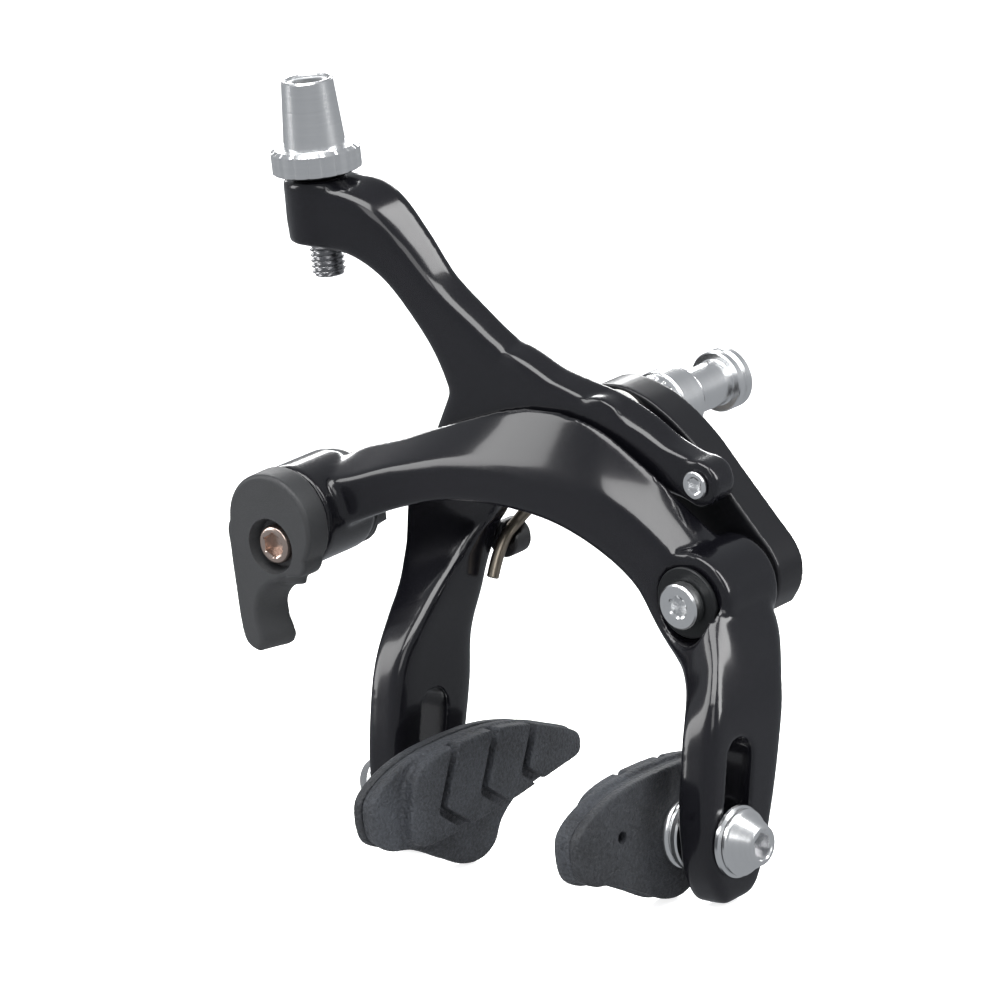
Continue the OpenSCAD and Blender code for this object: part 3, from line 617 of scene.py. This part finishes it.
STUD_Y = SLOT_TOP[0] - 14.2 * math.sin(LEAN)
STUD_Z = SLOT_TOP[1] - 14.2 * math.cos(LEAN)
STUD = (STUD_Y, STUD_Z)
PAD = [(-27, 8.2), (-22.5, 10.8), (-16, 12.4), (-8, 12.8), (3, 12.2), (12, 10.2), (19, 7.4), (24.4, 4.8),
       (25, 2.2), (24, -0.8), (16, -1.6), (9, -2.8), (4.5, -5.6), (2, -9.2), (-2, -10.8), (-7, -10),
       (-13, -6.6), (-19, -3.4), (-24, -2), (-27.2, 0.4), (-28, 4.6)]
PAD_LOOP = curve_loop(PAD, 8)
BLOCK_LOOP = curve_loop([(-21.2, 2), (-20.5, 5), (-19, 9.4), (-15.5, 11.6), (-8, 12.4), (3, 11.8), (12, 9.8),
                         (19, 7), (23.8, 4.6), (24.5, 2.2), (23.4, 0.4), (18.7, -0.3), (12.5, -1.1),
                         (6, -1.9), (-1.3, -2.4), (-7.8, -2.8), (-14.8, -3), (-18.7, -2.5), (-20.8, -0.5)], 8)


def chevron(face, out, y):
    """Cutter for one groove with its point to the front."""
    parts = []
    for angle, length in ((63, 15), (-39, 13)):
        a = math.radians(angle)
        c, s = math.cos(a), math.sin(a)
        quad = [(-0.4, -0.9), (length, -0.9), (length, 0.9), (-0.4, 0.9)]
        rings = [[(x, STUD_Y + y + u * c - v * s, STUD_Z + 2.1 + u * s + v * c) for u, v in quad]
                 for x in (face - out * 1.5, face + out * 2.1)]
        parts.append(rings_mesh("g", rings))
    return parts


for side, out, face in (("left", -1, 15.5), ("right", 1, 19.5)):
    def place(u, v, s, out=out):
        return (out * s, STUD_Y + u, STUD_Z + v)

    back = face + 5.6
    dome = back + 1.8
    cup = dome + 1.6
    rubber = plate("rubber", PAD_LOOP, place, face + 2.4, back - 1.5, 0.45)
    ledge = plate("ledge", inset(PAD_LOOP, 0.55), place, back - 2.0, back, 0.2)
    raised = plate("raised", BLOCK_LOOP, place, face, face + 3.4, 0.5)
    rubber = fused(joined("pad", [rubber, ledge, raised]), 0.25, 1)
    for y in (-13, -2, 9):
        cut(rubber, chevron(out * face, out, y))
    fused(rubber, 0.22, 1)
    crease(rubber, 40)
    stands_for(rubber, side + "_pad_rubber")
    backing = plate("backing", inset(PAD_LOOP, 0.3), place, back, dome, 0.35)
    fused(backing, 0.25, 1)
    cut(backing, [rod("x", STUD, out * (back - 1), out * (dome + 1), 6.05)])
    cut(backing, [rod("x", (STUD_Y - 16, STUD_Z + 4.4), out * (back - 1), out * (dome + 1), 2.2)])
    crease(backing, 40)
    stands_for(backing, side + "_pad_plate")
    x = sorted((out * back, out * 41.7))
    stands_for(threaded("t", "x", STUD, x[0], x[1], 6), side + "_pad_stud")
    o = out
    stands_for(turned("d", "x", STUD, eased([(o * dome, 3.02), (o * dome, 6.2), (o * (dome + 0.7), 6.2),
                                             (o * (dome + 1.2), 5.6), (o * (dome + 1.5), 4.8),
                                             (o * (dome + 1.5), 3.02)])), side + "_inner_dome", CHROME["x"])
    ring(side + "_inner_cup", "x", STUD, o * cup, o * 29.92, 3.04, 6.2, CHROME["x"], 0.3)
    ring(side + "_outer_cup", "x", STUD, o * 37.88, o * 39.2, 3.04, 6.15, CHROME["x"], 0.35)
    stands_for(turned("n", "x", STUD, eased([(o * 39.3, 3.02), (o * 39.3, 5.7), (o * 40.1, 5.7),
                                             (o * 40.1, 5.3), (o * 43.7, 3.3), (o * 43.7, 2.45)], 0.2)
                      + [(o * 43.5, hexed(4)), (o * 41.7, hexed(4)), (o * 41.7, 3.02)]),
               side + "_pad_nut", CHROME["x"])

# ---------------------------------------------------------------- return spring and its plastic parts

SPRING = np.array([[-27.4, -22.9, -29], [-27.3, -21, -25.6], [-27, -18.6, -22.6], [-26.2, -15.6, -20.2],
                   [-23.6, -13.6, -17.4], [-16, -12.3, -12.6], [-7, -12.3, -11.6], [1, -12.3, -14],
                   [7, -12.3, -19.5], [12, -12.3, -27], [17, -15, -35], [23, -21, -40.5], [27.4, -24.6, -43],
                   [28.2, -25.6, -48]])


def wire(name, path, r, sides=20):
    rings = []
    for i in range(len(path)):
        t = path[min(i + 1, len(path) - 1)] - path[max(i - 1, 0)]
        t = t / np.linalg.norm(t)
        u = np.cross(t, (0, 1, 0))
        u /= np.linalg.norm(u)
        v = np.cross(t, u)
        ease = 0.75 if i in (0, len(path) - 1) else 1
        rings.append([path[i] + r * ease * (math.cos(a) * u + math.sin(a) * v)
                      for a in np.arange(sides) * math.tau / sides])
    return rings_mesh(name, rings)


SPRING_STEPS = 14
SPRING_MIDDLE = 6
fine = smooth_rows(SPRING, SPRING_STEPS)
middle = SPRING_STEPS * SPRING_MIDDLE
for name, path, arm, start, stop in (
        ("return_spring_left", fine[:middle + 1], "centre_arm",
         (-0.010, -0.0123, -0.012), (-0.026, -0.0156, -0.020)),
        ("return_spring_right", fine[middle:], "side_arm",
         (0.0, -0.0123, -0.014), (0.020, -0.018, -0.038))):
    piece = wire(name, path, 1.1)
    piece.data.materials.append(FINISH["spring_steel"])
    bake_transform(piece)
    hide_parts("return_spring")

for node in ("spring_seat", "left_spring_shoe", "right_spring_shoe"):
    source = frame["nodes"][node]
    copy = bpy.data.objects.new(node, source.data.copy())
    bpy.context.scene.collection.objects.link(copy)
    weld = copy.modifiers.new("weld", "WELD")
    weld.merge_threshold = 1e-6
    apply_modifiers(copy)
    fused(copy, 0.22, 3)
    crease(copy, 50)
    stands_for(copy, node)

# ---------------------------------------------------------------- floor, backdrop and light

floor_z = cad_lo[2] - 0.0004
floor_mat = bpy.data.materials.new("floor")
floor_mat.use_nodes = True
shader = floor_mat.node_tree.nodes["Principled BSDF"]
shader.inputs["Base Color"].default_value = (0.9, 0.9, 0.9, 1)
shader.inputs["Roughness"].default_value = 0.18
shader.inputs["Emission Color"].default_value = (1, 1, 1, 1)
shader.inputs["Emission Strength"].default_value = 0.8
size = 5.9
floor = bpy.data.meshes.new("floor")
corners = [(x, y, floor_z) for x, y in ((-size, -size), (size, -size), (size, size), (-size, size))]
floor.from_pydata(corners, [], [(0, 1, 2, 3)])
floor = bpy.data.objects.new("floor", floor)
floor.data.materials.append(floor_mat)
bpy.context.scene.collection.objects.link(floor)
floor.visible_glossy = False

sky_mat = bpy.data.materials.new("sky")
sky_mat.use_nodes = True
shader = sky_mat.node_tree.nodes["Principled BSDF"]
shader.inputs["Base Color"].default_value = (0, 0, 0, 1)
shader.inputs["Roughness"].default_value = 1
shader.inputs["Emission Color"].default_value = (1, 1, 1, 1)
shader.inputs["Emission Strength"].default_value = 1.2
bm = bmesh.new()
bmesh.ops.create_uvsphere(bm, u_segments=48, v_segments=24, radius=6)
sky = bpy.data.meshes.new("sky")
bm.to_mesh(sky)
bm.free()
sky = bpy.data.objects.new("sky", sky)
sky.data.materials.append(sky_mat)
bpy.context.scene.collection.objects.link(sky)
sky.visible_glossy = sky.visible_diffuse = sky.visible_shadow = sky.visible_transmission = False

world = bpy.data.worlds.new("studio")
world.use_nodes = True
world.node_tree.nodes["Background"].inputs["Color"].default_value = (0.75, 0.78, 0.82, 1)
world.node_tree.nodes["Background"].inputs["Strength"].default_value = 0.42
bpy.context.scene.world = world


def lamp(name, azimuth, elevation, distance, width, height, watts, spin=0):
    """Soft box aimed at the object, placed by the direction it stands in from the object."""
    a, e = math.radians(azimuth), math.radians(elevation)
    toward = Vector((math.sin(a) * math.cos(e), -math.cos(a) * math.cos(e), math.sin(e)))
    data = bpy.data.lights.new(name, "AREA")
    data.shape = "RECTANGLE"
    data.size, data.size_y = width, height
    data.energy = watts
    ob = bpy.data.objects.new(name, data)
    bpy.context.scene.collection.objects.link(ob)
    aim = Vector((0, -0.02, -0.01))
    ob.location = aim + toward * distance
    ob.rotation_mode = "QUATERNION"
    roll = Matrix.Rotation(math.radians(spin), 3, "Z").to_quaternion()
    ob.rotation_quaternion = (-toward).to_track_quat("-Z", "Y") @ roll
    ob.visible_camera = False


lamp("key_top", 20, 72, 1.6, 1.5, 0.9, 26)
lamp("left_front", -55, 25, 1.7, 0.7, 1.5, 14)
lamp("right_strip", 115, 32, 1.5, 0.45, 1.4, 16)
lamp("back_band", 222, 20, 2.0, 1.6, 0.35, 16)
lamp("front_fill", 40, 35, 2.4, 1.2, 1.2, 10)
